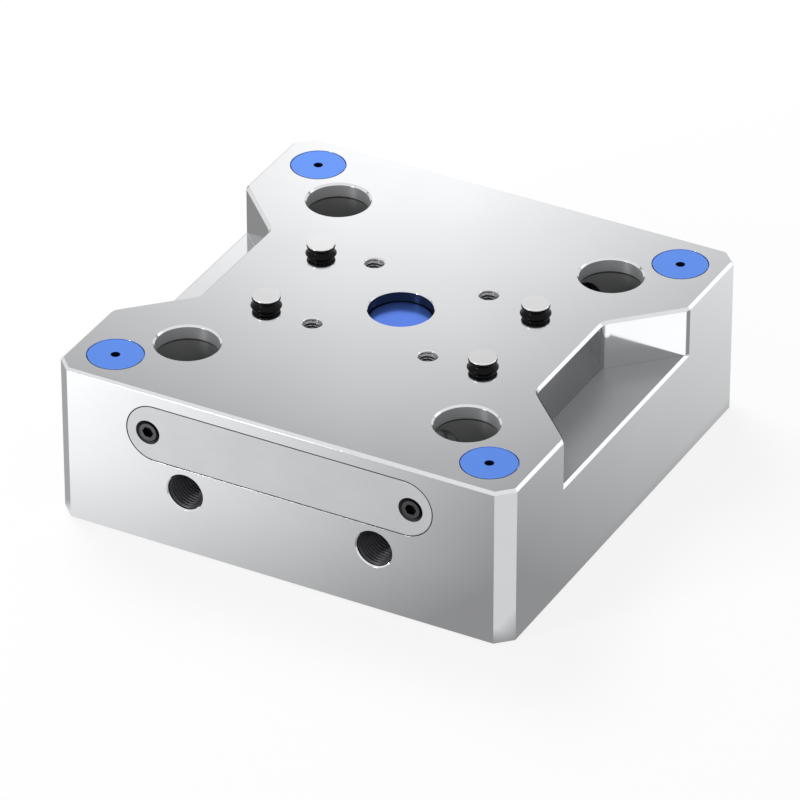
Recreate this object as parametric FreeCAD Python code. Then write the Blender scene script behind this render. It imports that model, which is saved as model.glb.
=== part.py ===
import FreeCAD, Part
import math
import os
from FreeCAD import Vector

# A square zero point clamping plate that holds a pallet by four studs.
# The origin is the centre of the bottom face, +Z points up through the top face,
# and the front is the -Y side, which has the oval cover and the two pressure ports.
# All sizes are millimetres.

# Plate
plate_length = 156.0
plate_width = 156.0
plate_height = 54.0
corner_chamfer = 5.0
top_edge_chamfer = 0.9
bottom_edge_chamfer = 0.5

# Stud bores in the top face
stud_pitch = 96.0
stud_bore_diameter = 20.0
stud_mouth_chamfer = 0.6
stud_band_depth = 4.7
stud_relief_step = 0.5
stud_bore_depth = 26.5

# Clamping pins, which slide along X into the stud bores
clamp_pin_cover = 6.5
clamp_pin_diameter = 16.0
clamp_pin_clearance = 0.03
clamp_pin_setback = 0.3
clamp_pin_tip_chamfer = 0.8
clamp_pin_seal_cord = 1.9
clamp_pin_seal_shift = 1.0

# Wedge drive: the pins move this much for each millimetre of piston travel
wedge_ratio = 0.5
wedge_gap = 0.1
wedge_top_half_width = 6.5
wedge_block_margin = 0.5
wedge_pocket_half_length = 17.5
wedge_pocket_side_gap = 1.0
wedge_pocket_corner_radius = 3.0
wedge_end_gap = 0.5
wedge_foot_margin = 1.0
slot_neck_half_width = 3.0
slot_head_half_width = 5.0
slot_neck_depth = 2.0
slot_head_depth = 2.5
hook_drop = 7.0
hook_top_margin = 0.7
knee_margin = 1.5

# Cylinder and piston
cylinder_diameter = 120.0
piston_clearance = 0.1
piston_thickness = 7.0
piston_stroke = 7.0
piston_top_gap = 0.2
piston_edge_chamfer = 1.5
piston_seal_cord = 2.9
wedge_screw_offset = 8.5
wedge_screw_diameter = 5.0
wedge_screw_depth = 8.0
wedge_screw_head_diameter = 9.2
wedge_screw_setback = 0.2

# Bottom cover; its margins are measured out from the cylinder's wall
cover_flange_margin = 14.0
cover_flange_thickness = 6.0
cover_spigot_height = 2.0
cover_setback = 0.3
cover_side_gap = 0.2
cover_spigot_gap = 0.1
cover_relief_diameter = 100.0
cover_relief_depth = 1.0
cover_edge_chamfer = 0.5
cover_screw_count = 8
cover_screw_margin = 7.3
cover_screw_diameter = 5.0
cover_screw_head_diameter = 9.2
cover_screw_thread_depth = 10.0
cover_seal_cord = 1.94
cover_seal_margin = 2.4

# Mounting screw holes in the corners, closed by pressed-in plugs
mounting_hole_inset = 14.0
mounting_hole_diameter = 11.0
mounting_head_diameter = 17.0
mounting_head_depth = 20.0
mounting_foot_chamfer = 0.8
plug_bore_diameter = 18.0
plug_thickness = 6.0
plug_setback = 0.05
plug_side_gap = 0.12
plug_edge_chamfer = 0.3
plug_puller_diameter = 3.0
plug_puller_depth = 4.0
plug_seal_cord = 1.54

# Small tapped holes round the centre
centre_thread_pitch = 40.0
centre_thread_diameter = 6.0
centre_thread_depth = 12.0
centre_thread_mouth = 0.35

# Centre recess and the plain disc on its floor
badge_recess_diameter = 20.5
badge_mouth_chamfer = 0.3
badge_surface_depth = 3.75
badge_thickness = 1.5
badge_side_gap = 0.15
badge_edge_chamfer = 0.3

# Side notches, by which the plate is gripped and carried
notch_depth = 19.6
notch_mouth_half_width = 41.8
notch_floor_depth = 16.7
notch_corner_radius = 5.0

# Oval front cover over the air channel
front_cover_length = 105.0
front_cover_height = 19.5
front_cover_thickness = 5.0
front_cover_gap = 0.25
front_cover_edge_chamfer = 0.15
front_screw_offset = 45.0
front_screw_diameter = 4.0
front_screw_head_diameter = 8.0
front_screw_thread_depth = 8.0
front_channel_length = 72.0
front_channel_height = 9.0
front_channel_depth = 6.0
front_gasket_margin = 1.5
front_gasket_width = 2.0
front_gasket_thickness = 1.5
blow_hole_diameter = 3.0
blow_hole_turn = 30.0

# Pressure ports in the front face
port_offset = 32.5
port_depth_below_top = 32.5
port_thread_diameter = 12.0
port_thread_depth = 14.0
port_mouth_chamfer = 0.4
port_drill_diameter = 4.0

# Spring lifters, which raise the pallet when the pins let go
lifter_x = 37.5
lifter_y = 17.5
lifter_height = 3.6
lifter_travel = 3.8
lifter_head_diameter = 8.8
lifter_head_thickness = 0.6
lifter_head_edge = 0.15
lifter_stem_diameter = 5.0
lifter_bore_diameter = 9.6
lifter_mouth_chamfer = 0.1
lifter_bush_depth = 7.0
lifter_bush_length = 11.0
lifter_bush_gap = 0.03
lifter_stem_clearance = 0.05
lifter_flange_diameter = 8.4
lifter_flange_thickness = 3.0
lifter_spigot_diameter = 4.0
lifter_spigot_length = 2.0
lifter_spring_wire = 0.9
lifter_spring_diameter = 6.4
lifter_spring_turns = 4
lifter_spring_pressed_length = 4.2
lifter_spring_end_gap = 0.1
circlip_thickness = 0.8
circlip_groove_depth = 0.3
circlip_width = 1.0
circlip_opening_angle = 70.0
boot_wall = 0.8
boot_bead_gap = 0.15
boot_bead_height = 2.0
boot_lobe_gap = 0.1
boot_lobe_top = 0.9
boot_lobe_bottom = 0.3
boot_waist_radius = 3.6
boot_waist_height = 1.6
boot_fold_depth = 1.4
boot_collar_radius = 4.5
boot_collar_height = 0.5
boot_end_gap = 0.1

# Small clearances and screw proportions that several pieces share
seal_gap = 0.03
screw_gap = 0.04
head_gap = 0.1
screw_hole_gap = 0.2
groove_side_gap = 0.2
screw_head_rim = 0.3
screw_end_gap = 1.0
socket_depth_share = 0.45
m4_socket = 2.5
m5_socket = 3.0

# How far a cut runs past the face that it opens, and how near two places are the same
overcut = 1.0
same = 0.01

# Places worked out from the sizes above
top = plate_height
front_face = -plate_width / 2
stud_offset = stud_pitch / 2
stud_radius = stud_bore_diameter / 2
relief_radius = stud_radius + stud_relief_step
pin_bore_radius = clamp_pin_diameter / 2
pin_radius = pin_bore_radius - clamp_pin_clearance
clamp_axis = top - clamp_pin_cover - pin_bore_radius
pin_tip = stud_offset - relief_radius - clamp_pin_setback
pin_seal_place = (wedge_pocket_half_length + pin_tip) / 2 + clamp_pin_seal_shift
cylinder_radius = cylinder_diameter / 2
piston_bottom = cover_flange_thickness + cover_spigot_height
piston_top = piston_bottom + piston_thickness
cylinder_roof = piston_top + piston_stroke + piston_top_gap
piston_radius = cylinder_radius - piston_clearance
wedge_pocket_top = clamp_axis + pin_bore_radius + wedge_end_gap
wedge_top = wedge_pocket_top - piston_stroke - wedge_end_gap
hook_bottom = clamp_axis - hook_drop
hook_top = wedge_top - hook_top_margin
wedge_knee = hook_bottom - piston_stroke - knee_margin
wedge_base_half_width = wedge_top_half_width + wedge_ratio * (wedge_top - wedge_knee)
wedge_block_half_depth = pin_bore_radius + wedge_block_margin
wedge_pocket_half_width = wedge_block_half_depth + wedge_pocket_side_gap
pin_inner_end = wedge_top_half_width + wedge_end_gap
port_axis = top - port_depth_below_top
mounting_x = plate_length / 2 - mounting_hole_inset
mounting_y = plate_width / 2 - mounting_hole_inset
plug_top = top - plug_setback
plug_bottom = plug_top - plug_thickness
badge_top = top - badge_surface_depth
badge_floor = badge_top - badge_thickness
cover_flange_radius = cylinder_radius + cover_flange_margin
cover_screw_circle_radius = cylinder_radius + cover_screw_margin
cover_seal_radius = cylinder_radius + cover_seal_margin
channel_back = front_face + front_cover_thickness + front_channel_depth
recess_back = front_face + front_cover_thickness
lifter_head_top = top + lifter_height
lifter_head_bottom = lifter_head_top - lifter_head_thickness
lifter_bore_radius = lifter_bore_diameter / 2
lifter_bush_top = top - lifter_bush_depth
lifter_bush_bottom = lifter_bush_top - lifter_bush_length
lifter_flange_bottom = lifter_bush_bottom - lifter_flange_thickness
lifter_floor = lifter_flange_bottom - lifter_travel - lifter_spring_pressed_length
circlip_top = lifter_bush_top + circlip_thickness
boot_bottom = circlip_top + boot_end_gap
boot_top = lifter_head_bottom - boot_end_gap
boot_bead_radius = lifter_bore_radius - boot_bead_gap
boot_lobe_radius = lifter_bore_radius - boot_lobe_gap
far = plate_length + plate_width + plate_height

across = Vector(1, 0, 0)
back = Vector(0, 1, 0)
up = Vector(0, 0, 1)
down = Vector(0, 0, -1)
corners = {
    "front_left": (-1, -1),
    "front_right": (1, -1),
    "rear_left": (-1, 1),
    "rear_right": (1, 1),
}


def box(x0, x1, y0, y1, z0, z1):
    return Part.makeBox(x1 - x0, y1 - y0, z1 - z0, Vector(x0, y0, z0))


def rod(radius, start, end):
    """A cylinder from one point to another."""
    return Part.makeCylinder(radius, (end - start).Length, start, end - start)


def post(radius, x, y, z0, z1):
    """An upright cylinder."""
    return rod(radius, Vector(x, y, z0), Vector(x, y, z1))


def mouth(radius, chamfer, at, outward):
    """The cone that breaks the edge of a hole whose mouth is at a point."""
    return Part.makeCone(radius, radius + chamfer, chamfer, at - outward * chamfer, outward)


def prism(points, direction):
    """A flat polygon pushed along a direction."""
    return Part.Face(Part.makePolygon(points + points[:1])).extrude(direction)


def turned(profile, x=0.0, y=0.0):
    """A ring or disc turned round an upright axis, from its (radius, height) outline."""
    points = [Vector(r, 0, z) for r, z in profile]
    face = Part.Face(Part.makePolygon(points + points[:1]))
    shape = face.revolve(Vector(0, 0, 0), up, 360)
    shape.translate(Vector(x, y, 0))
    return shape


def o_ring(mean_radius, cord, at, axis):
    return Part.makeTorus(mean_radius, cord / 2, at, axis)


def ring_core(bore_radius, cord):
    """The radius that is left under a ring's groove on a piece that slides in a bore."""
    return bore_radius - cord - 2 * seal_gap


def groove_half(cord):
    """Half the width of a ring's groove."""
    return cord / 2 + groove_side_gap


def is_upright(edge):
    """Whether an edge stands along Z."""
    return edge.BoundBox.ZLength > 0.9 * edge.Length


def oval(length, height, y0, y1, z_centre):
    """A flat bar with half-round ends, lying along X and as thick as y0 to y1."""
    radius = height / 2
    reach = length / 2 - radius
    ends = [rod(radius, Vector(x, y0, z_centre), Vector(x, y1, z_centre)) for x in (-reach, reach)]
    middle = box(-reach, reach, y0, y1, z_centre - radius, z_centre + radius)
    return middle.fuse(ends).removeSplitter()


def hex_hole(across_flats, depth, at, inward):
    """A hexagon socket that goes in from a point."""
    radius = across_flats / math.sqrt(3)
    side = back if abs(inward.dot(back)) < 0.5 else across
    other = inward.cross(side)
    points = []
    for k in range(6):
        angle = math.radians(60 * k)
        points.append(at + side * (radius * math.cos(angle)) + other * (radius * math.sin(angle)))
    return prism(points, inward * depth)


def countersunk_screw(diameter, head_diameter, length, socket, at, inward):
    """A flat-headed screw whose head lies flush at a point and whose shank goes inward."""
    head_radius = head_diameter / 2
    shank_radius = diameter / 2 - screw_gap
    rim = screw_head_rim
    cone_height = head_radius - shank_radius
    head = rod(head_radius, at, at + inward * rim)
    cone = Part.makeCone(head_radius, shank_radius, cone_height, at + inward * rim, inward)
    shank = rod(shank_radius, at + inward * rim, at + inward * length)
    solid = head.fuse([cone, shank]).removeSplitter()
    return solid.cut(hex_hole(socket, socket_depth_share * head_radius, at, inward))


def countersink(diameter, head_diameter, thickness, at, inward):
    """The hole for such a screw through a cover of some thickness."""
    head_radius = head_diameter / 2 + head_gap
    hole_radius = diameter / 2 + screw_hole_gap
    rim = screw_head_rim + head_gap
    cone_height = head_radius - hole_radius
    head = rod(head_radius, at, at + inward * rim)
    cone = Part.makeCone(head_radius, hole_radius, cone_height, at + inward * rim, inward)
    hole = rod(hole_radius, at, at + inward * thickness)
    return head.fuse([cone, hole])


# Base plate


def notch_outline(side, z):
    """The four corners of a side notch, open past the side face, at one height."""
    wall = plate_length / 2 - notch_depth
    outside = plate_length / 2 + overcut
    inner = notch_mouth_half_width - notch_depth
    outer = notch_mouth_half_width + overcut
    return [
        Vector(side * wall, -inner, z),
        Vector(side * outside, -outer, z),
        Vector(side * outside, outer, z),
        Vector(side * wall, inner, z),
    ]


def notch(side):
    """The side notch as a solid, with its two inner upright corners rounded."""
    floor = top - notch_floor_depth
    solid = prism(notch_outline(side, floor), up * (notch_floor_depth + overcut))
    wall = plate_length / 2 - notch_depth
    inner_edges = [
        edge
        for edge in solid.Edges
        if is_upright(edge) and abs(abs(edge.CenterOfMass.x) - wall) < same
    ]
    return solid.makeFillet(notch_corner_radius, inner_edges)


def plate_blank():
    """The block with its chamfered corners, side notches and broken edges."""
    hx = plate_length / 2
    hy = plate_width / 2
    c = corner_chamfer
    outline = [
        Vector(-hx + c, -hy, 0),
        Vector(hx - c, -hy, 0),
        Vector(hx, -hy + c, 0),
        Vector(hx, hy - c, 0),
        Vector(hx - c, hy, 0),
        Vector(-hx + c, hy, 0),
        Vector(-hx, hy - c, 0),
        Vector(-hx, -hy + c, 0),
    ]
    blank = prism(outline, up * top).cut([notch(-1), notch(1)])
    floor = top - notch_floor_depth
    broken = []
    for edge in blank.Edges:
        low = min(vertex.Z for vertex in edge.Vertexes)
        at_face = all(abs(abs(vertex.X) - hx) < same for vertex in edge.Vertexes)
        if abs(low - top) < same or (at_face and low > floor - same):
            broken.append(edge)
    blank = blank.makeChamfer(top_edge_chamfer, broken)
    bottom = [edge for edge in blank.Edges if abs(edge.BoundBox.ZMax) < same]
    return blank.makeChamfer(bottom_edge_chamfer, bottom)


def stud_bore(x, y):
    """A stud bore: broken mouth, locating band, then a wider relief to its floor."""
    at = Vector(x, y, top)
    band = post(stud_radius, x, y, top - stud_band_depth - overcut, top + overcut)
    relief = post(relief_radius, x, y, top - stud_bore_depth, top - stud_band_depth)
    return band.fuse([relief, mouth(stud_radius, stud_mouth_chamfer, at, up)])


def mounting_hole(x, y):
    """A corner hole: plug seat, room for a screw head, and the screw's own hole."""
    plug_seat = post(plug_bore_diameter / 2, x, y, plug_bottom - seal_gap, top + overcut)
    head_floor = top - mounting_head_depth
    head_room = post(mounting_head_diameter / 2, x, y, head_floor, plug_bottom)
    radius = mounting_hole_diameter / 2
    hole = post(radius, x, y, -overcut, head_floor)
    foot = mouth(radius, mounting_foot_chamfer, Vector(x, y, 0), down)
    return plug_seat.fuse([head_room, hole, foot])


def centre_thread(x, y):
    radius = centre_thread_diameter / 2
    hole = post(radius, x, y, top - centre_thread_depth, top + overcut)
    return hole.fuse(mouth(radius, centre_thread_mouth, Vector(x, y, top), up))


def badge_recess():
    radius = badge_recess_diameter / 2
    hole = post(radius, 0, 0, badge_floor, top + overcut)
    return hole.fuse(mouth(radius, badge_mouth_chamfer, Vector(0, 0, top), up))


def lifter_bore(x, y):
    radius = lifter_bore_radius
    hole = post(radius, x, y, lifter_floor, top + overcut)
    groove = post(radius + circlip_groove_depth, x, y, lifter_bush_top, circlip_top)
    return hole.fuse([groove, mouth(radius, lifter_mouth_chamfer, Vector(x, y, top), up)])


def wedge_pocket(y):
    """The upright pocket, open to the cylinder, in which a wedge block rises."""
    x = wedge_pocket_half_length
    w = wedge_pocket_half_width
    pocket = box(-x, x, y - w, y + w, cylinder_roof - overcut, wedge_pocket_top)
    return pocket.makeFillet(wedge_pocket_corner_radius, list(filter(is_upright, pocket.Edges)))


def pin_bore(y):
    """One bore along X for the two clamping pins of a row, from stud bore to stud bore."""
    start = Vector(-stud_offset, y, clamp_axis)
    end = Vector(stud_offset, y, clamp_axis)
    return rod(pin_bore_radius, start, end)


def cylinder_room():
    """The stepped hollow under the plate: the cover's seat and the piston's cylinder."""
    seat = post(cover_flange_radius + cover_side_gap, 0, 0, -overcut, cover_flange_thickness)
    bore = post(cylinder_radius, 0, 0, 0, cylinder_roof)
    return seat.fuse(bore)


def cover_screw_places():
    """The bottom cover's screws, spaced evenly with none in line with a side of the plate."""
    places = []
    for k in range(cover_screw_count):
        angle = 2 * math.pi * (k + 0.5) / cover_screw_count
        x = cover_screw_circle_radius * math.cos(angle)
        y = cover_screw_circle_radius * math.sin(angle)
        places.append((x, y))
    return places


def front_gasket_shape(gap):
    """The oval ring of the front gasket, wider all round by a gap."""
    z = clamp_axis
    inner_length = front_channel_length + 2 * front_gasket_margin
    inner_height = front_channel_height + 2 * front_gasket_margin
    grow = 2 * front_gasket_width
    y0 = recess_back
    y1 = recess_back + front_gasket_thickness
    outer = oval(inner_length + grow + 2 * gap, inner_height + grow + 2 * gap, y0, y1 + gap, z)
    inner = oval(inner_length - 2 * gap, inner_height - 2 * gap, y0 - overcut, y1 + overcut, z)
    return outer.cut(inner)


def front_work():
    """Everything that is cut in from the front face."""
    z = clamp_axis
    recess = oval(front_cover_length, front_cover_height, front_face - overcut, recess_back, z)
    channel = oval(front_channel_length, front_channel_height, front_face, channel_back, z)
    cuts = [recess, channel, front_gasket_shape(seal_gap)]
    for x in (-front_screw_offset, front_screw_offset):
        start = Vector(x, front_face, z)
        end = Vector(x, recess_back + front_screw_thread_depth, z)
        cuts.append(rod(front_screw_diameter / 2, start, end))
    for side in (-1, 1):
        cuts.append(port(side))
        cuts.append(blow_hole(side))
    cuts.append(air_feed())
    return cuts


def port(side):
    """A threaded port and the drilled hole from it to one end of the cylinder."""
    x = side * port_offset
    radius = port_thread_diameter / 2
    mouth_at = Vector(x, front_face, port_axis)
    bottom = Vector(x, front_face + port_thread_depth, port_axis)
    thread = rod(radius, mouth_at - back * overcut, bottom)
    wall = -math.sqrt(cylinder_radius**2 - port_offset**2)
    drill_radius = port_drill_diameter / 2
    upper = cylinder_roof - piston_edge_chamfer
    lower = piston_bottom + piston_edge_chamfer
    end = Vector(x, wall + drill_radius, upper if side < 0 else lower)
    drill = rod(drill_radius, bottom - back * drill_radius, end)
    return thread.fuse([drill, mouth(radius, port_mouth_chamfer, mouth_at, -back)])


def blow_hole(side):
    """A slanted air hole from the end of the front channel to the wall of a front stud bore."""
    radius = blow_hole_diameter / 2
    start_x = front_channel_length / 2 - front_channel_height / 2
    start = Vector(side * start_x, channel_back - radius, clamp_axis)
    turn = math.radians(blow_hole_turn)
    end_x = stud_offset - relief_radius * math.sin(turn)
    end_y = -stud_offset - relief_radius * math.cos(turn)
    end = Vector(side * end_x, end_y, clamp_axis)
    return rod(radius, start, end + (end - start).normalize() * radius)


def air_feed():
    """The slanted hole, drilled through the cover's recess, that feeds the channel."""
    radius = blow_hole_diameter / 2
    start = Vector(-port_offset, channel_back - radius, clamp_axis - front_channel_height / 2 + radius)
    end = Vector(-port_offset, front_face + port_thread_depth - radius, port_axis)
    return rod(radius, start, end)


def base_plate():
    cuts = [cylinder_room(), badge_recess()]
    for sx, sy in corners.values():
        cuts.append(stud_bore(sx * stud_offset, sy * stud_offset))
        cuts.append(mounting_hole(sx * mounting_x, sy * mounting_y))
        cuts.append(centre_thread(sx * centre_thread_pitch / 2, sy * centre_thread_pitch / 2))
        cuts.append(lifter_bore(sx * lifter_x, sy * lifter_y))
    for sy in (-1, 1):
        cuts.append(wedge_pocket(sy * stud_offset))
        cuts.append(pin_bore(sy * stud_offset))
    screw_top = cover_flange_thickness + cover_screw_thread_depth
    for x, y in cover_screw_places():
        cuts.append(post(cover_screw_diameter / 2, x, y, 0, screw_top))
    cuts.extend(front_work())
    return plate_blank().cut(cuts)


# Covers, seals and screws


def bottom_cover():
    flange_top = cover_flange_thickness
    c = cover_edge_chamfer
    flange_profile = [
        (0, cover_setback),
        (cover_flange_radius - c, cover_setback),
        (cover_flange_radius, cover_setback + c),
        (cover_flange_radius, flange_top),
        (0, flange_top),
    ]
    spigot = post(cylinder_radius - cover_spigot_gap, 0, 0, flange_top, piston_bottom)
    relief_floor = piston_bottom - cover_relief_depth
    relief = post(cover_relief_diameter / 2, 0, 0, relief_floor, piston_bottom + overcut)
    half = groove_half(cover_seal_cord)
    groove_floor = flange_top - cover_seal_cord - 2 * seal_gap
    groove = post(cover_seal_radius + half, 0, 0, groove_floor, flange_top + overcut)
    groove = groove.cut(post(cover_seal_radius - half, 0, 0, 0, plate_height))
    cuts = [relief, groove]
    for x, y in cover_screw_places():
        at = Vector(x, y, cover_setback)
        thickness = flange_top - cover_setback + overcut
        head = cover_screw_head_diameter
        cuts.append(countersink(cover_screw_diameter, head, thickness, at, up))
    return turned(flange_profile).fuse(spigot).cut(cuts)


def bottom_cover_seal():
    z = cover_flange_thickness - seal_gap - cover_seal_cord / 2
    return o_ring(cover_seal_radius, cover_seal_cord, Vector(0, 0, z), up)


def bottom_cover_screws():
    screws = []
    thread_top = cover_flange_thickness + cover_screw_thread_depth
    length = thread_top - cover_setback - screw_end_gap
    head = cover_screw_head_diameter
    for x, y in cover_screw_places():
        at = Vector(x, y, cover_setback)
        screws.append(countersunk_screw(cover_screw_diameter, head, length, m5_socket, at, up))
    return Part.makeCompound(screws)


def front_cover():
    length = front_cover_length - 2 * front_cover_gap
    height = front_cover_height - 2 * front_cover_gap
    plate = oval(length, height, front_face, recess_back, clamp_axis)
    rim = [edge for edge in plate.Edges if edge.BoundBox.YMax < front_face + same]
    plate = plate.makeChamfer(front_cover_edge_chamfer, rim)
    holes = []
    for x in (-front_screw_offset, front_screw_offset):
        at = Vector(x, front_face, clamp_axis)
        thickness = front_cover_thickness + overcut
        head = front_screw_head_diameter
        holes.append(countersink(front_screw_diameter, head, thickness, at, back))
    return plate.cut(holes)


def front_cover_gasket():
    return front_gasket_shape(0.0).common(
        box(-far, far, recess_back + seal_gap, far, 0, plate_height)
    )


def front_cover_screws():
    screws = []
    length = front_cover_thickness + front_screw_thread_depth - screw_end_gap
    head = front_screw_head_diameter
    for x in (-front_screw_offset, front_screw_offset):
        at = Vector(x, front_face, clamp_axis)
        screws.append(countersunk_screw(front_screw_diameter, head, length, m4_socket, at, back))
    return Part.makeCompound(screws)


def centre_badge():
    radius = badge_recess_diameter / 2 - badge_side_gap
    c = badge_edge_chamfer
    return turned(
        [
            (0, badge_floor),
            (radius, badge_floor),
            (radius, badge_top - c),
            (radius - c, badge_top),
            (0, badge_top),
        ]
    )


def corner_plug(sx, sy):
    """A round plug with a groove for its ring and a small tapped hole to pull it out by."""
    radius = plug_bore_diameter / 2 - plug_side_gap
    chamfer = plug_edge_chamfer
    ring_z = (plug_top + plug_bottom) / 2
    groove_radius = ring_core(plug_bore_diameter / 2, plug_seal_cord)
    half = groove_half(plug_seal_cord)
    profile = [
        (0, plug_bottom),
        (radius - chamfer, plug_bottom),
        (radius, plug_bottom + chamfer),
        (radius, ring_z - half),
        (groove_radius, ring_z - half),
        (groove_radius, ring_z + half),
        (radius, ring_z + half),
        (radius, plug_top - chamfer),
        (radius - chamfer, plug_top),
        (0, plug_top),
    ]
    x = sx * mounting_x
    y = sy * mounting_y
    puller = post(plug_puller_diameter / 2, x, y, plug_top - plug_puller_depth, plug_top + overcut)
    return turned(profile, x, y).cut(puller)


def corner_plug_seals():
    rings = []
    radius = plug_bore_diameter / 2 - seal_gap - plug_seal_cord / 2
    z = (plug_top + plug_bottom) / 2
    for sx, sy in corners.values():
        rings.append(o_ring(radius, plug_seal_cord, Vector(sx * mounting_x, sy * mounting_y, z), up))
    return Part.makeCompound(rings)


# Piston and wedge blocks


def piston():
    c = piston_edge_chamfer
    r = piston_radius
    middle = (piston_bottom + piston_top) / 2
    half = groove_half(piston_seal_cord)
    groove_radius = ring_core(cylinder_radius, piston_seal_cord)
    profile = [
        (0, piston_bottom),
        (r - c, piston_bottom),
        (r, piston_bottom + c),
        (r, middle - half),
        (groove_radius, middle - half),
        (groove_radius, middle + half),
        (r, middle + half),
        (r, piston_top - c),
        (r - c, piston_top),
        (0, piston_top),
    ]
    holes = []
    for at in wedge_screw_places():
        head_radius = wedge_screw_head_diameter / 2 + head_gap
        head_seat = post(head_radius, at.x, at.y, piston_bottom - overcut, at.z)
        thickness = piston_thickness + overcut
        cone = countersink(wedge_screw_diameter, wedge_screw_head_diameter, thickness, at, up)
        holes.extend([head_seat, cone])
    return turned(profile).cut(holes)


def piston_seal():
    middle = (piston_bottom + piston_top) / 2
    radius = cylinder_radius - seal_gap - piston_seal_cord / 2
    return o_ring(radius, piston_seal_cord, Vector(0, 0, middle), up)


def wedge_screw_places():
    places = []
    for sy in (-1, 1):
        for sx in (-1, 1):
            z = piston_bottom + wedge_screw_setback
            places.append(Vector(sx * wedge_screw_offset, sy * stud_offset, z))
    return places


def wedge_screws():
    length = piston_thickness + wedge_screw_depth - wedge_screw_setback - screw_end_gap
    head = wedge_screw_head_diameter
    screws = []
    for at in wedge_screw_places():
        screws.append(countersunk_screw(wedge_screw_diameter, head, length, m5_socket, at, up))
    return Part.makeCompound(screws)


def slope_axes(side):
    """The direction up the slanted face of a wedge block, and the face's outward normal."""
    slope = Vector(-side * wedge_ratio, 0, 1).normalize()
    normal = Vector(side, 0, wedge_ratio).normalize()
    return slope, normal


def tee_prism(side, y, neck, head, head_depth, lift):
    """A T-shaped bar that runs up the slanted face, with its neck inside and outside the face."""
    slope, normal = slope_axes(side)
    foot = Vector(side * wedge_top_half_width, y, wedge_top) - slope * far / 2
    under_neck = -slot_neck_depth
    under_head = under_neck - head_depth
    outline = [
        (slot_neck_depth, -neck),
        (slot_neck_depth, neck),
        (under_neck, neck),
        (under_neck, head),
        (under_head, head),
        (under_head, -head),
        (under_neck, -head),
        (under_neck, -neck),
    ]
    points = [foot + normal * (out + lift) + back * across_y for out, across_y in outline]
    return prism(points, slope * far)


def wedge_block(sy):
    """A block with a slanted face on each side, each with a T-slot for a pin's hook.

    Its foot stays on the piston, inside the edge of the piston's top face.
    """
    y = sy * stud_offset
    d = wedge_block_half_depth
    outline = [
        Vector(-wedge_base_half_width, y - d, piston_top),
        Vector(wedge_base_half_width, y - d, piston_top),
        Vector(wedge_base_half_width, y - d, wedge_knee),
        Vector(wedge_top_half_width, y - d, wedge_top),
        Vector(-wedge_top_half_width, y - d, wedge_top),
        Vector(-wedge_base_half_width, y - d, wedge_knee),
    ]
    block = prism(outline, back * (2 * d))
    piston_area = post(piston_radius - wedge_foot_margin, 0, 0, piston_top, top)
    block = block.common(piston_area)
    above_knee = box(-far, far, -far, far, wedge_knee, far)
    cuts = []
    for side in (-1, 1):
        slot = tee_prism(
            side, y, slot_neck_half_width, slot_head_half_width, slot_head_depth, 0.0
        )
        cuts.append(slot.common(above_knee))
    for at in wedge_screw_places():
        if at.y * sy > 0:
            hole_top = piston_top + wedge_screw_depth
            cuts.append(post(wedge_screw_diameter / 2, at.x, at.y, 0, hole_top))
    return block.cut(cuts)


def clamp_pin(sx, sy):
    """A round pin whose inner end is cut to the wedge's slope and hooks into its T-slot."""
    y = sy * stud_offset
    start = Vector(sx * pin_inner_end, y, clamp_axis)
    end = Vector(sx * pin_tip, y, clamp_axis)
    shank = rod(pin_radius, start, end - across * (sx * clamp_pin_tip_chamfer))
    tip = Part.makeCone(
        pin_radius,
        pin_radius - clamp_pin_tip_chamfer,
        clamp_pin_tip_chamfer,
        end - across * (sx * clamp_pin_tip_chamfer),
        across * sx,
    )
    slope, normal = slope_axes(sx)
    foot = Vector(sx * wedge_top_half_width, y - far / 2, wedge_top) - slope * far / 2
    inside = prism(
        [
            foot + normal * wedge_gap,
            foot + slope * far + normal * wedge_gap,
            foot + slope * far - normal * far,
            foot - normal * far,
        ],
        back * far,
    )
    hook = tee_prism(
        sx,
        y,
        slot_neck_half_width - wedge_gap,
        slot_head_half_width - wedge_gap,
        slot_head_depth - 2 * wedge_gap,
        -wedge_gap,
    )
    inner, outer = sorted((0.0, sx * wedge_pocket_half_length))
    hook = hook.common(box(inner, outer, -far, far, hook_bottom, hook_top))
    body = shank.fuse(tip).cut(inside).fuse(hook).removeSplitter()
    return body.cut(clamp_pin_groove(sx * pin_seal_place, y))


def clamp_pin_groove(x, y):
    """The ring-shaped groove that holds a clamping pin's seal."""
    half = groove_half(clamp_pin_seal_cord)
    start = Vector(x - half, y, clamp_axis)
    end = Vector(x + half, y, clamp_axis)
    core_radius = ring_core(pin_bore_radius, clamp_pin_seal_cord)
    return rod(pin_bore_radius + overcut, start, end).cut(rod(core_radius, start, end))


def clamp_pin_seal(sx, sy):
    radius = pin_bore_radius - seal_gap - clamp_pin_seal_cord / 2
    at = Vector(sx * pin_seal_place, sy * stud_offset, clamp_axis)
    return o_ring(radius, clamp_pin_seal_cord, at, across)


# Lifters


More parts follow.
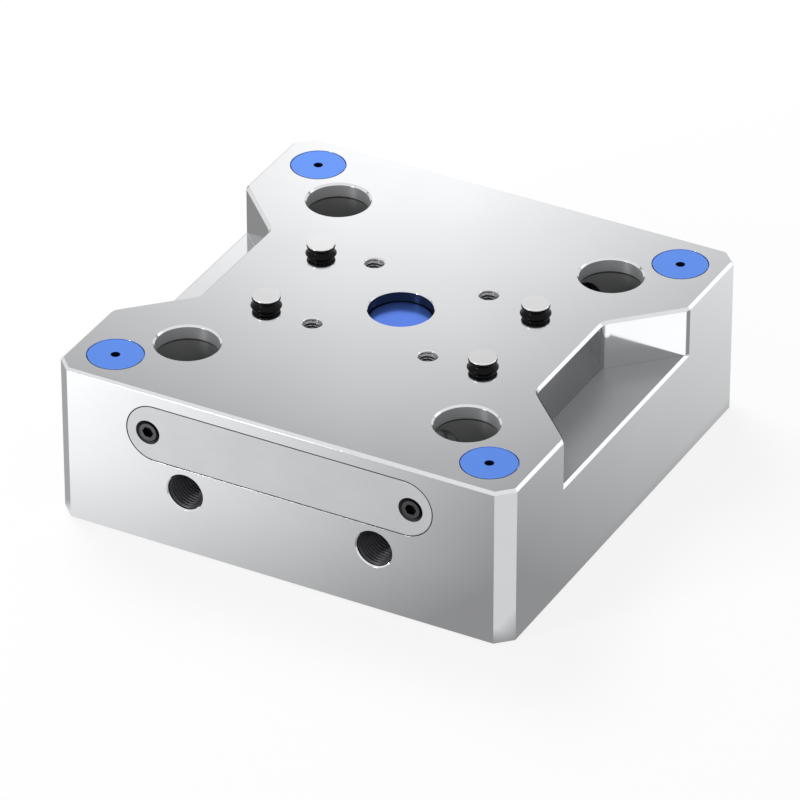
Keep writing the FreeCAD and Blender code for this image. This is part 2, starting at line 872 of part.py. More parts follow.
def lifter_pin(sx, sy):
    """The disc head, its stem and the flange that stops it under the bush."""
    head_radius = lifter_head_diameter / 2
    stem_radius = lifter_stem_diameter / 2
    flange_radius = lifter_flange_diameter / 2
    spigot_radius = lifter_spigot_diameter / 2
    flange_bottom = lifter_flange_bottom
    spigot_bottom = flange_bottom - lifter_spigot_length
    edge = lifter_head_edge
    profile = [
        (0, spigot_bottom),
        (spigot_radius - edge, spigot_bottom),
        (spigot_radius, spigot_bottom + edge),
        (spigot_radius, flange_bottom),
        (flange_radius, flange_bottom),
        (flange_radius, lifter_bush_bottom),
        (stem_radius, lifter_bush_bottom),
        (stem_radius, lifter_head_bottom),
        (head_radius - edge, lifter_head_bottom),
        (head_radius, lifter_head_bottom + edge),
        (head_radius, lifter_head_top - edge),
        (head_radius - edge, lifter_head_top),
        (0, lifter_head_top),
    ]
    return turned(profile, sx * lifter_x, sy * lifter_y)


def lifter_bush(sx, sy):
    outer = lifter_bore_radius - lifter_bush_gap
    inner = lifter_stem_diameter / 2 + lifter_stem_clearance
    x = sx * lifter_x
    y = sy * lifter_y
    ring = post(outer, x, y, lifter_bush_bottom, lifter_bush_top)
    return ring.cut(post(inner, x, y, 0, far))


def lifter_circlips():
    """The four snap rings that hold the guide bushes down in their bores."""
    rings = []
    outer = lifter_bore_radius + circlip_groove_depth - seal_gap
    inner = outer - circlip_width
    half_angle = math.radians(circlip_opening_angle / 2)
    for sx, sy in corners.values():
        x = sx * lifter_x
        y = sy * lifter_y
        ring = post(outer, x, y, lifter_bush_top, circlip_top)
        ring = ring.cut(post(inner, x, y, 0, far))
        along = across * (far * math.cos(half_angle))
        aside = back * (far * math.sin(half_angle))
        centre = Vector(x, y, 0)
        opening = prism([centre, centre + along - aside, centre + along + aside], up * far)
        rings.append(ring.cut(opening))
    return Part.makeCompound(rings)


def lifter_spring(sx, sy):
    """A short coil spring between the bore's floor and the flange of the lifter's pin."""
    wire = lifter_spring_wire / 2
    floor = lifter_floor + lifter_spring_end_gap + wire
    ceiling = lifter_flange_bottom - lifter_spring_end_gap - wire
    height = ceiling - floor
    radius = lifter_spring_diameter / 2
    helix = Part.makeLongHelix(height / lifter_spring_turns, height, radius)
    section = Part.Wire(Part.makeCircle(wire, Vector(radius, 0, 0), back))
    coil = Part.Wire(helix.Edges).makePipeShell([section], True, True)
    coil.translate(Vector(sx * lifter_x, sy * lifter_y, floor))
    return coil


def boot_outline():
    """The outside of the folded rubber sleeve as (radius, height) points, from its bead up."""
    bead_top = boot_bottom + boot_bead_height
    fold_top = top - boot_fold_depth
    return [
        (boot_bead_radius, boot_bottom),
        (boot_bead_radius, bead_top),
        (boot_waist_radius, (bead_top + fold_top) / 2),
        (boot_waist_radius, fold_top),
        (boot_lobe_radius, top - boot_lobe_bottom),
        (boot_lobe_radius, top + boot_lobe_top),
        (boot_waist_radius, top + boot_waist_height),
        (boot_collar_radius, boot_top - boot_collar_height),
        (boot_collar_radius, boot_top),
    ]


def lifter_boot(sx, sy):
    outside = boot_outline()
    inside = [(radius - boot_wall, z) for radius, z in reversed(outside)]
    return turned(outside + inside, sx * lifter_x, sy * lifter_y)


nodes = {
    "base_plate": base_plate(),
    "bottom_cover": bottom_cover(),
    "bottom_cover_seal": bottom_cover_seal(),
    "bottom_cover_screws": bottom_cover_screws(),
    "front_cover": front_cover(),
    "front_cover_gasket": front_cover_gasket(),
    "front_cover_screws": front_cover_screws(),
    "centre_badge": centre_badge(),
    "corner_plug_seals": corner_plug_seals(),
    "lifter_circlips": lifter_circlips(),
    "piston": piston(),
    "piston_seal": piston_seal(),
    "wedge_block_front": wedge_block(-1),
    "wedge_block_rear": wedge_block(1),
    "wedge_screws": wedge_screws(),
}
for corner, (sx, sy) in corners.items():
    nodes["corner_plug_" + corner] = corner_plug(sx, sy)
    nodes["clamp_pin_" + corner] = clamp_pin(sx, sy)
    nodes["clamp_pin_seal_" + corner] = clamp_pin_seal(sx, sy)
    nodes["lifter_pin_" + corner] = lifter_pin(sx, sy)
    nodes["lifter_bush_" + corner] = lifter_bush(sx, sy)
    nodes["lifter_spring_" + corner] = lifter_spring(sx, sy)
    nodes["lifter_boot_" + corner] = lifter_boot(sx, sy)

os.makedirs("parts", exist_ok=True)
for name, shape in nodes.items():
    shape.exportStep("parts/" + name + ".step")
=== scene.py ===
import bpy
import math
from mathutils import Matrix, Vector


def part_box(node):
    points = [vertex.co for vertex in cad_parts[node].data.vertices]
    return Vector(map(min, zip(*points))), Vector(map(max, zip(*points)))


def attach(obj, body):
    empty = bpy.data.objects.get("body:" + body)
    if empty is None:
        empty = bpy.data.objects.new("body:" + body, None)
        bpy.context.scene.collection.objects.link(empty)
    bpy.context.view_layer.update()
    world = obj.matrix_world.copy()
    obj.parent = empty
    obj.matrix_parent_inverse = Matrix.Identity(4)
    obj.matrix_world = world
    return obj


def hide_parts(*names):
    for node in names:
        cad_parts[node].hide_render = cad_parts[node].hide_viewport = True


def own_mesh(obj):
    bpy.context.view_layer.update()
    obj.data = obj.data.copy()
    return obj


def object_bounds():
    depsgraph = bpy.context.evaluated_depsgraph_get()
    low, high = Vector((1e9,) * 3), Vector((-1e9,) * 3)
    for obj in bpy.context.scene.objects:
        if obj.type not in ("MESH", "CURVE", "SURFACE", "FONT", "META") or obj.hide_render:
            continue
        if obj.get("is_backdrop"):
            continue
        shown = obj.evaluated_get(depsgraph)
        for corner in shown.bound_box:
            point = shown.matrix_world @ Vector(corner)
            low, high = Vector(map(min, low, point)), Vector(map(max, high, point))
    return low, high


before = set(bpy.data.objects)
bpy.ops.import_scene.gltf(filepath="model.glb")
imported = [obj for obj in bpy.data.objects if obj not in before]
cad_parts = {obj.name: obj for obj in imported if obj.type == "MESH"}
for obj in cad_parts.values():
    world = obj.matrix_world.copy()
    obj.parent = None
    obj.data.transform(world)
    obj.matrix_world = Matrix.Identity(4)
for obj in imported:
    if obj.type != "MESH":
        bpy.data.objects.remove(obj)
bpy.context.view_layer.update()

# A square zero point clamping plate on a pale studio table, seen from its front right.
# The frame is in metres: +Z up through the top face, -Y towards the oval front cover.
scene = bpy.context.scene
mm = 0.001

# Kinds of shader node used all over
MATH = "ShaderNodeMath"
VECTOR = "ShaderNodeVectorMath"
RANGE = "ShaderNodeMapRange"

# Places read from the frame
plate_low, plate_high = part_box("base_plate")
top = plate_high.z
front_face = plate_low.y

# The four corners, as their sides of X and Y
corners = {
    "front_left": (-1, -1),
    "front_right": (1, -1),
    "rear_left": (-1, 1),
    "rear_right": (1, 1),
}

# Bores and side notches, in millimetres, as the plate's finish and its painted shade change inside
# them
stud_offset = 48.0
stud_relief_radius = 10.5
stud_mouth = 0.6
stud_band_depth = 4.7
recess_radius = 10.25
recess_mouth = 0.3
notch_depth = 19.6
notch_mouth_half_width = 41.8
notch_floor_depth = 16.7

# Broken edges and the height of the bores' foot, in millimetres
top_edge = 0.9
notch_edge = 1.2
stud_foot = 1.5

# A change of finish starts this far from the surface that it belongs to, in millimetres
hair = 0.05
sliver = 0.02

# The plugs over the mounting holes, in millimetres
plug_offset = 64.0
plug_setback = 0.05
plug_radius = 8.88
plug_edge = 0.3
puller_radius = 1.5

# Threads, in millimetres: hole radius, pitch, length and where the mouth's chamfer ends
centre_thread = {"offset": 20.0, "radius": 3.0, "pitch": 1.0, "length": 11.6, "mouth": 0.35}
port_thread = {"offset": 32.5, "radius": 6.0, "pitch": 1.25, "length": 13.5, "mouth": 0.4}
port_below_top = 32.5

# Screws, in millimetres
front_screw = {"offset": 45.0, "head": 4.0, "shank": 1.96, "length": 12.0, "socket": 3.2}
cover_screw = {"circle": 67.3, "head": 4.6, "shank": 2.46, "length": 14.7, "socket": 3.0}
front_screw_below_top = 14.5
cover_screw_count = 8
screw_face_share = 0.76
screw_groove = 0.6
screw_edge = 0.1
socket_depth_share = 0.45

# The oval front cover, in millimetres
front_cover_reach = 52.5
front_cover_half_height = 9.75
front_cover_thickness = 5.0


def linear(hex_colour):
    """An sRGB hex colour as linear red, green, blue and alpha."""
    parts = [int(hex_colour[i : i + 2], 16) / 255 for i in (1, 3, 5)]
    return [p / 12.92 if p <= 0.04045 else ((p + 0.055) / 1.055) ** 2.4 for p in parts] + [1.0]


def add(tree, kind, inputs=None, **settings):
    """Adds a node. Its inputs are values, sockets, or nodes that give their first output."""
    node = tree.nodes.new(kind)
    for key, value in settings.items():
        setattr(node, key, value)
    for key, value in (inputs or {}).items():
        if isinstance(value, bpy.types.Node):
            value = value.outputs[0]
        if isinstance(value, bpy.types.NodeSocket):
            tree.links.new(value, node.inputs[key])
        else:
            node.inputs[key].default_value = value
    return node


def all_of(tree, *masks):
    """A mask that is 1 where all the given masks are 1, and 0 elsewhere."""
    joined = masks[0]
    for mask in masks[1:]:
        joined = add(tree, MATH, {0: joined, 1: mask}, operation="MULTIPLY")
    return joined


def bare_material(name):
    """A new material with no nodes, and its tree."""
    material = bpy.data.materials.new(name)
    material.use_nodes = True
    material.node_tree.nodes.clear()
    return material, material.node_tree


def millimetres(tree):
    """Object coordinates in millimetres, so that every pattern below has a real size."""
    place = add(tree, "ShaderNodeTexCoord").outputs["Object"]
    return add(tree, VECTOR, {0: place, "Scale": 1 / mm}, operation="SCALE")


def blotches(tree, place, size_mm, low, high, detail=3.0):
    """A grey pattern whose blotches are about size_mm across, between two levels."""
    noise = add(
        tree, "ShaderNodeTexNoise", {"Vector": place, "Scale": 1 / size_mm, "Detail": detail}
    )
    return add(
        tree, RANGE, {"Value": noise, "From Min": 0.3, "From Max": 0.7, "To Min": low, "To Max": high}
    )


def from_axis(tree, place, offset):
    """The distance in millimetres from the nearest of four upright axes at +-offset."""
    folded = add(tree, VECTOR, {0: place}, operation="ABSOLUTE")
    moved = add(tree, VECTOR, {0: folded, 1: (offset, offset, 0.0)}, operation="SUBTRACT")
    flat = add(tree, VECTOR, {0: moved, 1: (1.0, 1.0, 0.0)}, operation="MULTIPLY")
    return add(tree, VECTOR, {0: flat}, operation="LENGTH").outputs["Value"]


def finish_surface(tree, colour, roughness, height, bump_mm, edge_mm, metallic, **sockets):
    """The shader: bump over edges broken by a small radius, then the output."""
    edge = add(tree, "ShaderNodeBevel", {"Radius": edge_mm * mm}, samples=6)
    bump = add(
        tree, "ShaderNodeBump", {"Height": height, "Distance": bump_mm * mm, "Normal": edge}
    )
    inputs = {"Base Color": colour, "Roughness": roughness, "Normal": bump, "Metallic": metallic}
    for name, value in sockets.items():
        inputs[name.replace("_", " ")] = value
    shader = add(tree, "ShaderNodeBsdfPrincipled", inputs)
    add(tree, "ShaderNodeOutputMaterial", {"Surface": shader})


def ground_nickel_steel():
    """Nickel-plated tool steel, ground and polished: it mirrors the studio a little cloudily.

    The notches' walls are darkened with painted shade, all but the right notch's rear wall, and the
    right notch's floor is milled matt, its grey darkened with painted shade too. The stud bores and
    the centre recess are bored: the bores rougher and greyer with light drawn out along their depth,
    the recess rougher. Both are darkened with painted shade, the bores' reliefs more, and most of all
    in a painted shadow in the step under the band.
    """
    material, tree = bare_material("ground_nickel_plated_steel")
    place = millimetres(tree)
    apart = add(tree, "ShaderNodeSeparateXYZ", {0: place}).outputs
    x = add(tree, MATH, {0: apart[0]}, operation="ABSOLUTE")
    y = add(tree, MATH, {0: apart[1]}, operation="ABSOLUTE")
    z = apart[2]
    height = top / mm
    half_width = plate_high.x / mm
    on_right = add(tree, MATH, {0: apart[0], 1: 0.0}, operation="GREATER_THAN")

    # Inside a notch: behind its mouth, between its slanted walls and under the top
    wall = half_width - notch_depth
    slant = notch_mouth_half_width - half_width
    floor_z = height - notch_floor_depth
    past_wall = add(tree, MATH, {0: x, 1: wall - hair}, operation="GREATER_THAN")
    lean = add(tree, MATH, {0: x, 1: slant + 2 * hair}, operation="ADD")
    between = add(tree, MATH, {0: y, 1: lean}, operation="LESS_THAN")
    under_top = add(tree, MATH, {0: z, 1: height - top_edge - hair}, operation="LESS_THAN")
    above_floor = add(tree, MATH, {0: z, 1: floor_z - hair}, operation="GREATER_THAN")
    notch = all_of(tree, past_wall, between, under_top, above_floor)
    low = add(tree, MATH, {0: z, 1: floor_z + 2 * hair}, operation="LESS_THAN")
    notch_floor = all_of(tree, notch, low)
    notch_wall = add(tree, MATH, {0: notch, 1: notch_floor}, operation="SUBTRACT")
    right_floor = all_of(tree, notch_floor, on_right)
    rear_part = add(tree, MATH, {0: apart[1], 1: wall + slant}, operation="GREATER_THAN")
    rear_wall = all_of(tree, notch_wall, rear_part, on_right)
    # Painted shade on the notches' walls, all but the right notch's rear wall
    notch_wall_shade = add(tree, MATH, {0: notch_wall, 1: rear_wall}, operation="SUBTRACT")

    # The broken edge over a notch's front wall, which lies in shade
    round_corner = 0.5
    front_end = round_corner - wall - slant
    front_part = add(tree, MATH, {0: apart[1], 1: front_end}, operation="LESS_THAN")
    edge_end = add(tree, MATH, {0: lean, 1: notch_edge}, operation="ADD")
    over_wall = add(tree, MATH, {0: y, 1: edge_end}, operation="LESS_THAN")
    below_top = add(tree, MATH, {0: z, 1: height - hair}, operation="LESS_THAN")
    shaded = add(tree, MATH, {0: below_top, 1: under_top}, operation="SUBTRACT")
    shaded = all_of(tree, shaded, front_part, over_wall)

    # The upright broken edges of the right notch's mouth, which lie in shade as well
    middle = half_width - notch_edge / 2
    reach = 0.57
    inset = add(tree, MATH, {0: x, 1: middle, 2: reach}, operation="COMPARE")
    past_slant = add(tree, MATH, {0: 1.0, 1: between}, operation="SUBTRACT")
    mouth_end = notch_mouth_half_width + notch_edge
    by_mouth = add(tree, MATH, {0: y, 1: mouth_end}, operation="LESS_THAN")
    mouth_edge = all_of(tree, on_right, inset, past_slant, by_mouth, above_floor, under_top)

    # Inside a stud bore below its mouth, with its relief further down
    stud_axis = from_axis(tree, place, stud_offset)
    stud_reach = stud_relief_radius + 0.3
    band_z = height - stud_band_depth
    step_height = 0.9
    near_stud = add(tree, MATH, {0: stud_axis, 1: stud_reach}, operation="LESS_THAN")
    below_mouth = add(tree, MATH, {0: z, 1: height - stud_mouth - hair}, operation="LESS_THAN")
    below_band = add(tree, MATH, {0: z, 1: band_z + hair}, operation="LESS_THAN")
    over_foot = add(tree, MATH, {0: z, 1: stud_foot}, operation="GREATER_THAN")
    bored = all_of(tree, near_stud, over_foot, below_mouth)
    relief = all_of(tree, near_stud, over_foot, below_band)
    # Painted shadow in the step under the band, below the reliefs' painted shade
    over_step = add(tree, MATH, {0: z, 1: band_z - step_height}, operation="GREATER_THAN")
    band_shadow = all_of(tree, relief, over_step)

    # Inside the recess of the centre disc
    centre_axis = from_axis(tree, place, 0.0)
    recess_reach = recess_radius + 2 * hair
    near_centre = add(tree, MATH, {0: centre_axis, 1: recess_reach}, operation="LESS_THAN")
    sunk = add(tree, MATH, {0: z, 1: height - recess_mouth - hair}, operation="LESS_THAN")
    recess = all_of(tree, near_centre, sunk)

    # The round ends of the front cover's seat, painted dark as painted shade, a dark line round the
    # cover
    straight = front_cover_reach - front_cover_half_height
    seat_middle = (straight + front_cover_reach) / 2
    seat_z = height - front_screw_below_top
    seat_y = front_face / mm + front_cover_thickness / 2
    lip = 0.03
    sizes = (
        (x, seat_middle, seat_middle - straight + 2 * hair),
        (z, seat_z, front_cover_half_height + 2 * hair),
        (apart[1], seat_y, front_cover_thickness / 2 - lip),
    )
    inside = [
        add(tree, MATH, {0: value, 1: middle, 2: reach}, operation="COMPARE")
        for value, middle, reach in sizes
    ]
    seat = all_of(tree, *inside)

    # The plating varies slowly over about 40 mm, and each place below loses its share of brightness
    # as painted shade
    level = blotches(tree, place, 40.0, 0.98, 1.01)
    losses = (
        (notch_wall_shade, 0.45),
        (right_floor, 0.54),
        (shaded, 0.8),
        (mouth_edge, 0.52),
        (seat, 0.95),
        (bored, 0.45),
        (relief, 0.36),
        (band_shadow, 0.7),
        (recess, 0.93),
    )
    for mask, loss in losses:
        share = add(tree, MATH, {0: mask, 1: -loss, 2: 1.0}, operation="MULTIPLY_ADD")
        level = add(tree, MATH, {0: level, 1: share}, operation="MULTIPLY")
    colour = add(tree, VECTOR, {0: linear("#E4E5E7")[:3], "Scale": level}, operation="SCALE")

    # Grinding lines are about 0.05 mm apart; drawn 0.5 mm apart, as that is what a picture shows
    stretched = add(tree, VECTOR, {0: place, 1: (0.04, 1.0, 1.0)}, operation="MULTIPLY")
    lines = blotches(tree, stretched, 0.5, 0.0, 1.0, detail=2.0)
    roughness = blotches(tree, place, 12.0, 0.07, 0.1)
    for mask, extra in ((right_floor, 0.36), (bored, 0.38), (recess, 0.2)):
        roughness = add(tree, MATH, {0: mask, 1: extra, 2: roughness}, operation="MULTIPLY_ADD")
    matt = add(tree, MATH, {0: bored, 1: right_floor}, operation="ADD")
    metallic = add(tree, MATH, {0: matt, 1: -0.5, 2: 1.0}, operation="MULTIPLY_ADD")
    drawn_out = add(tree, MATH, {0: bored, 1: 0.85}, operation="MULTIPLY")
    finish_surface(
        tree,
        colour,
        roughness,
        lines,
        0.0003,
        0.12,
        metallic,
        Anisotropic=drawn_out,
        Tangent=add(tree, "ShaderNodeCombineXYZ", {2: 1.0}),
    )
    return material


def brushed_metal(
    name, colour_hex, roughness, line_mm=0.4, bump_mm=0.0015, metallic=1.0, face_y=None
):
    """Metal brushed along X: fine lines, with a slow change of tone.

    Real lines are about 0.05 mm apart. They are drawn coarser, as that is what a picture shows.
    Where face_y is given, everything behind that front face is painted nearly black: painted shade in
    the gap round the cover and in its screw seats.
    """
    material, tree = bare_material(name)
    place = millimetres(tree)
    stretched = add(tree, VECTOR, {0: place, 1: (0.03, 1.0, 1.0)}, operation="MULTIPLY")
    lines = blotches(tree, stretched, line_mm, 0.0, 1.0)
    tone = blotches(tree, place, 18.0, 0.97, 1.02)
    if face_y is not None:
        depth = add(tree, "ShaderNodeSeparateXYZ", {0: place}).outputs[1]
        painted_shade_loss = 0.9
        # Painted shade: nearly black behind the front face
        behind = add(tree, MATH, {0: depth, 1: face_y + sliver}, operation="GREATER_THAN")
        tone = add(tree, MATH, {0: behind, 1: -painted_shade_loss, 2: tone}, operation="MULTIPLY_ADD")
    colour = add(tree, VECTOR, {0: linear(colour_hex)[:3], "Scale": tone}, operation="SCALE")
    rough = add(
        tree, RANGE, {"Value": lines, "To Min": roughness * 0.9, "To Max": roughness * 1.1}
    )
    finish_surface(tree, colour, rough, lines, bump_mm, 0.08, metallic)
    return material


def turned_metal(name, colour_hex, roughness, offset, ring_mm=0.35, bump_mm=0.001, metallic=1.0):
    """Metal turned on a lathe: fine rings round the nearest of four upright axes at +-offset."""
    material, tree = bare_material(name)
    place = millimetres(tree)
    height = add(tree, "ShaderNodeSeparateXYZ", {0: place}).outputs[2]
    folded = add(tree, VECTOR, {0: place}, operation="ABSOLUTE")
    moved = add(tree, VECTOR, {0: folded, 1: (*offset, 0.0)}, operation="SUBTRACT")
    flat = add(tree, VECTOR, {0: moved, 1: (1.0, 1.0, 0.0)}, operation="MULTIPLY")
    out = add(tree, VECTOR, {0: flat}, operation="LENGTH").outputs["Value"]
    ring_place = add(tree, "ShaderNodeCombineXYZ", {0: out, 1: height})
    rings = blotches(tree, ring_place, ring_mm, 0.0, 1.0)
    tone = blotches(tree, place, 6.0, 0.98, 1.01)
    colour = add(tree, VECTOR, {0: linear(colour_hex)[:3], "Scale": tone}, operation="SCALE")
    rough = add(
        tree, RANGE, {"Value": rings, "To Min": roughness * 0.9, "To Max": roughness * 1.1}
    )
    finish_surface(tree, colour, rough, rings, bump_mm, 0.06, metallic)
    return material


def anodised_plug():
    """Blue anodised aluminium, turned and bead-blasted: a soft satin blue.

    The small puller hole in each plug is painted dark inside as painted shade, and the front of
    each plug's broken edge carries painted shade.
    """
    material, tree = bare_material("blue_anodised_aluminium")
    place = millimetres(tree)
    grain = blotches(tree, place, 0.25, 0.0, 1.0)
    tone = blotches(tree, place, 9.0, 0.98, 1.01)
    height = add(tree, "ShaderNodeSeparateXYZ", {0: place}).outputs[2]
    axis = from_axis(tree, place, plug_offset)
    face_z = top / mm - plug_setback
    near = add(tree, MATH, {0: axis, 1: puller_radius + hair}, operation="LESS_THAN")
    down = add(tree, MATH, {0: height, 1: face_z - hair}, operation="LESS_THAN")
    hole = all_of(tree, near, down)

    # Which way a point lies from its own plug's axis, and how far towards the shaded side
    shaded_side = (0.33, -0.94, 0.0)
    shade_start = 1.5
    corner_side = add(tree, VECTOR, {0: place}, operation="SIGN")
    off = add(tree, VECTOR, {0: corner_side, "Scale": -plug_offset}, operation="SCALE")
    off = add(tree, VECTOR, {0: place, 1: off}, operation="ADD")
    forward = add(tree, VECTOR, {0: off, 1: shaded_side}, operation="DOT_PRODUCT").outputs["Value"]
    in_front = add(tree, MATH, {0: forward, 1: shade_start}, operation="GREATER_THAN")
    edge_start = plug_radius - plug_edge - sliver
    edge = add(tree, MATH, {0: axis, 1: edge_start}, operation="GREATER_THAN")
    rim = all_of(tree, edge, in_front)
    # Painted shade in the puller hole and on the front of the broken edge
    hole_shade_loss = 0.92
    rim_shade_loss = 0.85
    shade = add(tree, MATH, {0: hole, 1: -hole_shade_loss, 2: tone}, operation="MULTIPLY_ADD")
    shade = add(tree, MATH, {0: rim, 1: -rim_shade_loss, 2: shade}, operation="MULTIPLY_ADD")
    colour = add(tree, VECTOR, {0: linear("#5B8FF0")[:3], "Scale": shade}, operation="SCALE")
    rough = add(tree, RANGE, {"Value": grain, "To Min": 0.31, "To Max": 0.36})
    finish_surface(tree, colour, rough, grain, 0.0008, 0.05, 0.55)
    return material


def speckled(name, colour_hex, roughness, grain_mm, bump_mm, metallic, edge_mm=0.05, specular=0.5):
    """A surface with an even fine grain, as oxide, rubber or sintered parts have."""
    material, tree = bare_material(name)
    place = millimetres(tree)
    grain = blotches(tree, place, grain_mm, 0.0, 1.0)
    tone = blotches(tree, place, grain_mm * 12, 0.9, 1.06)
    colour = add(tree, VECTOR, {0: linear(colour_hex)[:3], "Scale": tone}, operation="SCALE")
    rough = add(
        tree, RANGE, {"Value": grain, "To Min": roughness * 0.85, "To Max": roughness * 1.15}
    )
    finish_surface(
        tree, colour, rough, grain, bump_mm, edge_mm, metallic, Specular_IOR_Level=specular
    )
    return material


def screw_with_painted_shade():
    """Black oxide steel, painted near black in the groove round each face and in its socket: painted
    shade.
    """
    material, tree = bare_material("black_oxide_screw_painted_shade")
    place = millimetres(tree)
    grain = blotches(tree, place, 0.25, 0.0, 1.0)
    tone = blotches(tree, place, 3.0, 0.9, 1.06)
    depth = add(tree, "ShaderNodeSeparateXYZ", {0: place}).outputs[1]
    painted_shade_loss = 0.85
    # Painted shade: near black behind the plate's front face, in the groove and the socket
    sunk = add(tree, MATH, {0: depth, 1: front_face / mm + sliver}, operation="GREATER_THAN")
    shade = add(tree, MATH, {0: sunk, 1: -painted_shade_loss, 2: tone}, operation="MULTIPLY_ADD")
    colour = add(tree, VECTOR, {0: linear("#5C5C60")[:3], "Scale": shade}, operation="SCALE")
    finish_surface(tree, colour, 0.4, grain, 0.002, 0.05, 1.0)
    return material


steel = ground_nickel_steel()

# Stainless covers, brushed along X: an even satin grey that mirrors nothing clearly
cover_steel = brushed_metal("satin_stainless_steel", "#D2D3D5", 0.5, line_mm=0.3, bump_mm=0.0005)
front_cover_steel = brushed_metal(
    "satin_stainless_front_cover",
    "#D2D3D5",
    0.62,
    line_mm=0.3,
    bump_mm=0.0005,
    metallic=0.65,
    face_y=front_face / mm,
)

# Black oxide on the screws: dark grey with a soft sheen, and painted shade in the front screws'
# grooves and sockets
black_oxide = speckled("black_oxide_steel", "#6A6A6E", 0.4, 0.25, 0.002, 1.0)
front_screw_steel = screw_with_painted_shade()

# Cut threads, one steel: lighter in the small holes as painted light, darker in the ports as painted
# shade
small_thread_steel = speckled("cut_thread_steel_painted_light", "#96969A", 0.22, 0.4, 0.003, 1.0)
port_thread_steel = speckled("cut_thread_steel_painted_shade", "#434346", 0.45, 0.4, 0.003, 1.0)

# Moulded nitrile rubber: deep black with a faint gloss
rubber = speckled("black_nitrile_rubber", "#020203", 0.2, 0.3, 0.0006, 0.0, 0.05, 0.12)

# Anodised aluminium: the dye tints the metal's own shine, clearer on the turned disc
blue = anodised_plug()
badge_blue = turned_metal("turned_blue_anodised_disc", "#5A86F0", 0.2, (0.0, 0.0), metallic=0.85)

# Hardened steels: ground bright on the lifters' heads and greyer on the wedges. The clamp pins are
# one steel, lighter on the front pins as painted light and dark on the rear pins as painted shade
bright_pin = turned_metal("ground_lifter_head", "#F0F0F1", 0.2, (37.5, 17.5), ring_mm=0.3)
hard_steel = brushed_metal("hardened_ground_steel", "#B4B5B8", 0.3, line_mm=0.25, metallic=0.8)
front_pin_steel = brushed_metal("pin_steel_painted_light", "#E4E5E6", 0.3, line_mm=0.25, metallic=0.4)
rear_pin_steel = brushed_metal("pin_steel_painted_shade", "#3A3A3D", 0.35, line_mm=0.25, metallic=0.8)

# Inside: hard-coated aluminium in dull grey, oil-filled bronze and bright drawn wire
piston_metal = turned_metal("hard_coated_aluminium", "#8E8F90", 0.35, (0.0, 0.0), ring_mm=0.6)
bronze = speckled("sintered_bronze", "#B08A4A", 0.4, 0.15, 0.004, 1.0)
spring_wire = speckled("bright_spring_wire", "#A9AAAD", 0.25, 0.3, 0.001, 1.0)

node_materials = {
    "base_plate": steel,
    "bottom_cover": cover_steel,
    "front_cover": front_cover_steel,
    "bottom_cover_screws": black_oxide,
    "front_cover_screws": front_screw_steel,
    "wedge_screws": black_oxide,
    "corner_plug_seals": rubber,
    "bottom_cover_seal": rubber,
    "front_cover_gasket": rubber,
    "piston_seal": rubber,
    "clamp_pin_seal": rubber,
    "lifter_boot": rubber,
    "centre_badge": badge_blue,
    "corner_plug": blue,
    "lifter_pin": bright_pin,
    "lifter_bush": bronze,
    "lifter_circlips": spring_wire,
    "lifter_spring": spring_wire,
    "clamp_pin_front": front_pin_steel,
    "clamp_pin_rear": rear_pin_steel,
    "wedge_block": hard_steel,
    "piston": piston_metal,
}
for name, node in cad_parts.items():
    fitting = max((key for key in node_materials if name.startswith(key)), key=len)
    for slot in node.material_slots:
        slot.material = node_materials[fitting]


def tree_with(name, sizes):
    """An empty geometry tree that takes points, some sizes, a turn and a material."""
    tree = bpy.data.node_groups.new(name, "GeometryNodeTree")
    tree.interface.new_socket("Places", in_out="INPUT", socket_type="NodeSocketGeometry")
    for size in sizes:
        tree.interface.new_socket(size, in_out="INPUT", socket_type="NodeSocketFloat")
    tree.interface.new_socket("Turn", in_out="INPUT", socket_type="NodeSocketVector")
    tree.interface.new_socket("Material", in_out="INPUT", socket_type="NodeSocketMaterial")
    tree.interface.new_socket("Geometry", in_out="OUTPUT", socket_type="NodeSocketGeometry")
    return tree, add(tree, "NodeGroupInput").outputs


def sheet_of_rows(tree, around, rows):
    """A grid to roll up: its mesh, its angle round the axis and its row number."""
    sizes = {"Size X": 1.0, "Size Y": 1.0, "Vertices X": around + 1, "Vertices Y": rows}
    grid = add(tree, "GeometryNodeMeshGrid", sizes)
    at = add(tree, "GeometryNodeInputPosition")
    apart = add(tree, "ShaderNodeSeparateXYZ", {0: at}).outputs
    share = add(tree, MATH, {0: apart[0], 1: 0.5}, operation="ADD")
    up = add(tree, MATH, {0: apart[1], 1: 0.5}, operation="ADD")
    row = add(tree, MATH, {0: up, 1: rows - 1.0}, operation="MULTIPLY")
    row = add(tree, MATH, {0: row}, operation="ROUND")
    return grid, share, row


def rolled_up(tree, grid, angle, radius, height):
    """The grid rolled round the Z axis and sewn up where its sides meet."""
    cosine = add(tree, MATH, {0: angle}, operation="COSINE")
    sine = add(tree, MATH, {0: angle}, operation="SINE")
    x = add(tree, MATH, {0: radius, 1: cosine}, operation="MULTIPLY")
    y = add(tree, MATH, {0: radius, 1: sine}, operation="MULTIPLY")
    place = add(tree, "ShaderNodeCombineXYZ", {0: x, 1: y, 2: height})
    tube = add(tree, "GeometryNodeSetPosition", {"Geometry": grid, "Position": place})
    return add(tree, "GeometryNodeMergeByDistance", {"Geometry": tube, "Distance": 0.002 * mm})


def end_tree(tree, given, piece):
    """Puts the piece on every place, turned the same way, and makes it a real mesh."""
    copies = add(
        tree,
        "GeometryNodeInstanceOnPoints",
        {"Points": given["Places"], "Instance": piece, "Rotation": given["Turn"]},
    )
    real = add(tree, "GeometryNodeRealizeInstances", {0: copies})
    painted = add(
        tree, "GeometryNodeSetMaterial", {"Geometry": real, "Material": given["Material"]}
    )
    add(tree, "NodeGroupOutput", {0: painted})
    return tree


